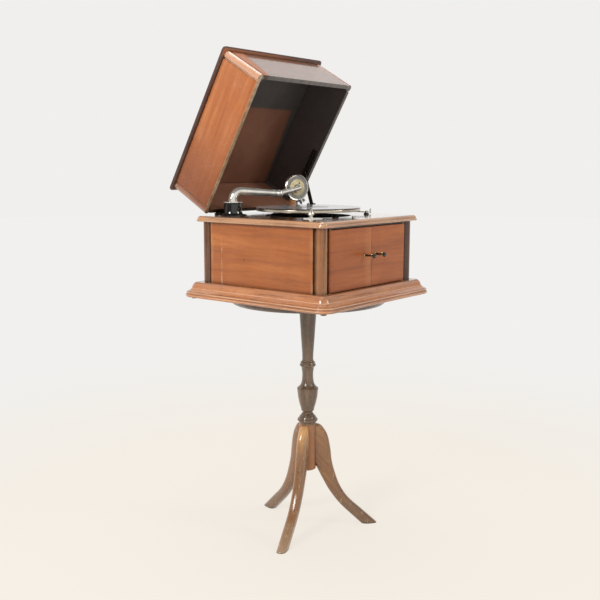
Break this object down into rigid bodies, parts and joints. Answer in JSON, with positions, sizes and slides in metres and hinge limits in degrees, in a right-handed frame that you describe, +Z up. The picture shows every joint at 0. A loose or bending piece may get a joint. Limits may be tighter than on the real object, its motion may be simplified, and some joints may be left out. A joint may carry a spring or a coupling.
{
  "type": "wind-up gramophone with stand",
  "caption": "Wind-up gramophone in a mahogany cabinet with a propped lid, sound doors and a crank, on a turned tripod stand.",
  "frame": {"origin": "on the floor under the column's axis, at the centre of the toes' circle", "axes": "+Z up, front with the doors towards -Y, crank side towards +X"},
  "size_m": [0.4875, 0.5109, 1.1748],
  "materials": {
    "stand_wood": "french polished, dark",
    "disc_wood": "stained",
    "frame_wood": "stained",
    "moulding_wood": "french polished",
    "post_wood": "french polished, dark",
    "panel_wood": "french polished",
    "door_wood": "french polished",
    "board_wood": "high gloss polish",
    "lid_wood": "french polished",
    "lid_top_wood": "french polished",
    "knob_wood": "polished, nearly black",
    "rest_wood": "polished",
    "steel": "bright",
    "nickel": "nickel plated, slightly tarnished",
    "box_metal": "nickel plated, satin back",
    "brass": "worn brass",
    "black_iron": "black japanned",
    "bolt_black": "black gloss",
    "cast_iron": "painted casting",
    "horn_metal": "dark paint",
    "platter_metal": "grey",
    "shellac": "pressed shellac with grooves",
    "diaphragm_mica": "mica",
    "dial_enamel": "white enamel"
  },
  "bodies": {
    "cabinet": {"stand_column": "stand_wood", "leg_1": "stand_wood", "leg_2": "stand_wood", "leg_3": "stand_wood", "stand_top": "disc_wood", "wood_screws": "steel", "base_board": "frame_wood", "plinth_mouldings": "moulding_wood", "cabinet_feet": "black_iron", "corner_posts": "post_wood", "side_panel_left": "panel_wood", "side_panel_right": "panel_wood", "back_panel": "panel_wood", "front_frame": "frame_wood", "motor_board": "board_wood", "horn": "horn_metal", "crank_bush": "nickel", "lid_hinge_lower": "brass", "door_pivot_pins": "brass", "stay_bracket": "black_iron", "brake_base": "bolt_black", "speed_dial": "dial_enamel", "tonearm_base": "black_iron", "rest_post": "rest_wood", "motor_frame": "cast_iron", "motor_bolts": "bolt_black"},
    "lid": {"lid_top": "lid_top_wood", "lid_front": "lid_wood", "lid_back": "lid_wood", "lid_left": "lid_wood", "lid_right": "lid_wood", "lid_posts": "post_wood", "lid_hinge_upper": "brass", "stay_track": "black_iron"},
    "lid_stay": {"stay_arm": "black_iron"},
    "door_left": {"left_door": "door_wood", "left_knob": "knob_wood"},
    "door_right": {"right_door": "door_wood", "right_knob": "knob_wood"},
    "turntable": {"platter": "platter_metal", "record": "shellac", "spindle": "steel"},
    "lay_shaft": {"lay_shaft": "brass"},
    "barrel": {"spring_barrel": "steel", "barrel_cap": "brass", "mainspring": "steel"},
    "winding": {"winding_shaft": "steel", "crank": "nickel"},
    "grip": {"crank_grip": "knob_wood"},
    "governor": {"governor": "brass"},
    "regulator": {"speed_knob": "nickel"},
    "speed_lever": {"speed_lever": "brass"},
    "brake": {"brake_lever": "nickel"},
    "arm": {"tonearm": "nickel"},
    "soundbox": {"gooseneck": "nickel", "soundbox_shell": "box_metal", "diaphragm": "diaphragm_mica", "stylus_bar": "steel", "needle": "steel"},
    "needle_screw": {"needle_screw": "nickel"}
  },
  "joints": [
    {"name": "lid_open", "type": "hinge", "parent": "cabinet", "child": "lid", "pos_m": [0, 0.181, 0.7915], "axis": [-1, 0, 0], "range_deg": [-60, 0]},
    {"name": "lid_stay_turn", "type": "hinge", "parent": "cabinet", "child": "lid_stay", "pos_m": [0.157, 0.111, 0.805], "axis": [-1, 0, 0], "range_deg": [-108.5, 0.5]},
    {"name": "left_door_open", "type": "hinge", "parent": "cabinet", "child": "door_left", "pos_m": [-0.1472, -0.1745, 0.7005], "axis": [0, 0, -1], "range_deg": [0, 100]},
    {"name": "right_door_open", "type": "hinge", "parent": "cabinet", "child": "door_right", "pos_m": [0.1472, -0.1745, 0.7005], "axis": [0, 0, 1], "range_deg": [0, 100]},
    {"name": "turntable_spin", "type": "hinge", "parent": "cabinet", "child": "turntable", "pos_m": [0, 0, 0.8005], "axis": [0, 0, 1], "continuous": true},
    {"name": "lay_shaft_spin", "type": "hinge", "parent": "cabinet", "child": "lay_shaft", "pos_m": [0, 0, 0.7185], "axis": [1, 0, 0], "continuous": true},
    {"name": "barrel_spin", "type": "hinge", "parent": "cabinet", "child": "barrel", "pos_m": [0.03, 0.0462, 0.7185], "axis": [1, 0, 0], "continuous": true},
    {"name": "governor_spin", "type": "hinge", "parent": "cabinet", "child": "governor", "pos_m": [-0.03465, -0.02426, 0.7345], "axis": [0, 0, 1], "continuous": true},
    {"name": "crank_turn", "type": "hinge", "parent": "cabinet", "child": "winding", "pos_m": [0.18, 0.0462, 0.7185], "axis": [1, 0, 0], "continuous": true},
    {"name": "crank_grip_spin", "type": "hinge", "parent": "winding", "child": "grip", "pos_m": [0.24, 0.0462, 0.6345], "axis": [1, 0, 0], "continuous": true},
    {"name": "regulator_turn", "type": "hinge", "parent": "cabinet", "child": "regulator", "pos_m": [-0.10359, -0.0892, 0.7845], "axis": [0, 0, 1], "range_deg": [-40, 40]},
    {"name": "speed_lever_turn", "type": "hinge", "parent": "cabinet", "child": "speed_lever", "pos_m": [-0.03309, -0.05979, 0.748], "axis": [0, 0, 1], "range_deg": [-2.6, 2.6]},
    {"name": "brake_turn", "type": "hinge", "parent": "cabinet", "child": "brake", "pos_m": [0.121, -0.08695, 0.795], "axis": [0, 0, -1], "range_deg": [0, 20]},
    {"name": "tonearm_swing", "type": "hinge", "parent": "cabinet", "child": "arm", "pos_m": [-0.1285, 0.1285, 0.8065], "axis": [0, 0, 1], "range_deg": [-5, 20]},
    {"name": "soundbox_flip", "type": "hinge", "parent": "arm", "child": "soundbox", "pos_m": [-0.11128, 0.1171, 0.84696], "axis": [0.8322, -0.5511, -0.061], "range_deg": [0, 90]},
    {"name": "needle_screw_turn", "type": "hinge", "parent": "soundbox", "child": "needle_screw", "pos_m": [0.04327, 0.0577, 0.81822], "axis": [0.8288, -0.3416, 0.4432], "continuous": true}
  ],
  "couplings": [
    {"joint": "lid_stay_turn", "follows": "lid_open", "ratio": 1.805},
    {"joint": "lay_shaft_spin", "follows": "turntable_spin", "ratio": 0.22222},
    {"joint": "barrel_spin", "follows": "turntable_spin", "ratio": -0.037037},
    {"joint": "governor_spin", "follows": "turntable_spin", "ratio": -8.4},
    {"joint": "speed_lever_turn", "follows": "regulator_turn", "ratio": -0.0634}
  ]
}
